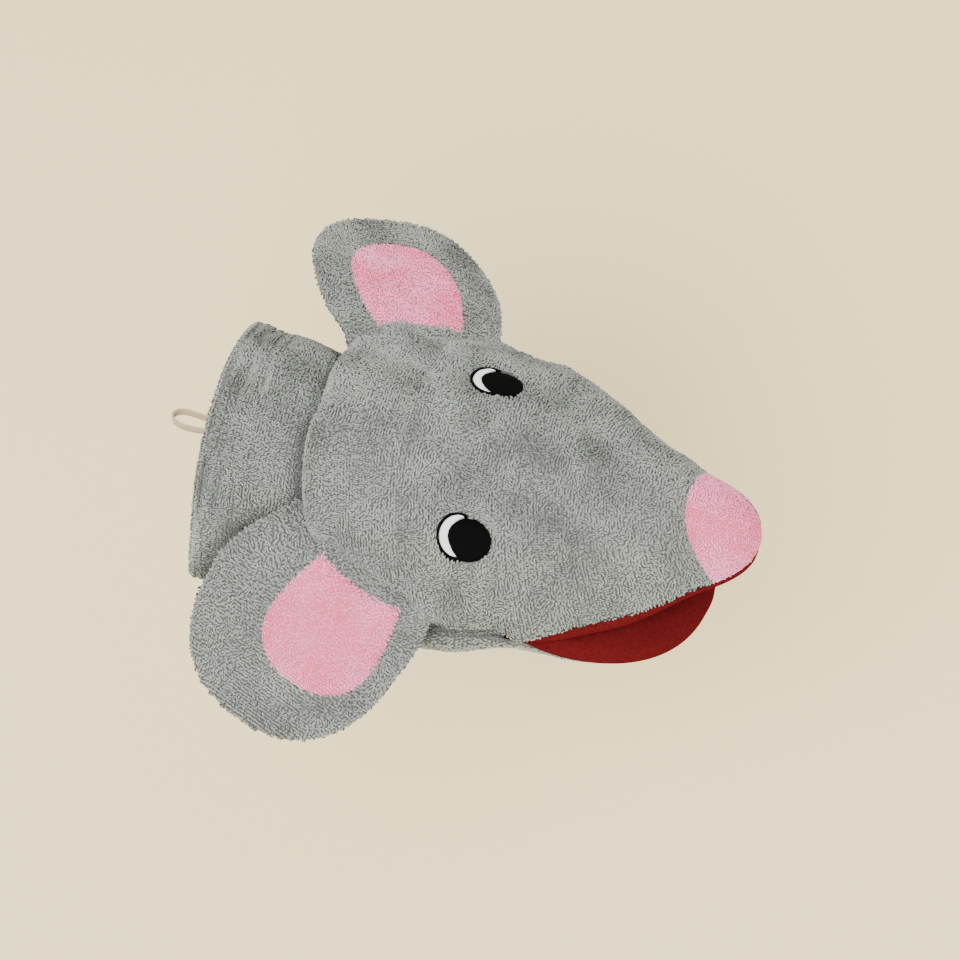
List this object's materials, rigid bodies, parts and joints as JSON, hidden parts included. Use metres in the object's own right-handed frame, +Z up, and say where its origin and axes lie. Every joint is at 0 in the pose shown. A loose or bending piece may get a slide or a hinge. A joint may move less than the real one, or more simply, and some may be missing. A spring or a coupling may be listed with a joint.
{
  "type": "terry hand puppet",
  "caption": "Terry wash-mitt hand puppet shaped as a mouse head, with sleeve, thumb-worked lower jaw, hinged ears, embroidered eyes and a hanging loop.",
  "frame": {"origin": "centre of the hand opening at the cuff rim, on the line of the side seams", "axes": "+X from the hand opening to the nose, +Y to the puppet's left, +Z up through the crown"},
  "size_m": [0.2414, 0.252, 0.0816],
  "materials": {
    "grey_terry": "looped cotton terry, mid grey, matt",
    "pink_terry": "fine looped cotton terry, pink, matt",
    "red_lining": "plain woven cotton, dark red, matt",
    "grey_thread": "sewing thread, grey",
    "white_thread": "satin-stitch embroidery, white, slight sheen",
    "black_thread": "satin-stitch embroidery, black, slight sheen",
    "cream_tape": "woven cotton tape, cream"
  },
  "bodies": {
    "cuff": {"sleeve_back_panel": "grey_terry", "sleeve_belly_panel": "grey_terry", "cuff_hem": "grey_terry", "hem_stitching": "grey_thread"},
    "loop": {"hanging_loop": "cream_tape"},
    "head": {"face_panel": "grey_terry", "nose_patch": "pink_terry", "mouth_roof": "red_lining", "throat_panel": "grey_terry", "left_eye_white": "white_thread", "left_eye_pupil": "black_thread", "left_eye_outline": "black_thread", "right_eye_white": "white_thread", "right_eye_pupil": "black_thread", "right_eye_outline": "black_thread"},
    "jaw": {"jaw_panel": "grey_terry", "mouth_floor": "red_lining"},
    "left_ear": {"left_ear_front": "grey_terry", "left_ear_back": "grey_terry", "left_ear_patch": "pink_terry"},
    "right_ear": {"right_ear_front": "grey_terry", "right_ear_back": "grey_terry", "right_ear_patch": "pink_terry"}
  },
  "joints": [
    {"name": "neck_nod", "type": "hinge", "parent": "cuff", "child": "head", "pos_m": [0.045, 0, 0], "axis": [0, 1, 0], "range_deg": [-15, 15]},
    {"name": "mouth", "type": "hinge", "parent": "head", "child": "jaw", "pos_m": [0.134, 0, -0.004], "axis": [0, 1, 0], "range_deg": [-18, 25]},
    {"name": "left_ear_fold", "type": "hinge", "parent": "head", "child": "left_ear", "pos_m": [0.06916, 0.05772, 0.01354], "axis": [0.8904, 0.3176, -0.3261], "range_deg": [-10, 55], "stiffness_Nm_per_rad": 0.12, "springref_deg": 5.73},
    {"name": "right_ear_fold", "type": "hinge", "parent": "head", "child": "right_ear", "pos_m": [0.06916, -0.05772, 0.01354], "axis": [-0.8904, 0.3176, 0.3261], "range_deg": [-10, 55], "stiffness_Nm_per_rad": 0.12, "springref_deg": 5.73},
    {"name": "loop_swing", "type": "hinge", "parent": "cuff", "child": "loop", "pos_m": [-0.005, -0.0052, 0.022], "axis": [0, 1, 0], "range_deg": [-35, 35], "stiffness_Nm_per_rad": 0.004}
  ]
}
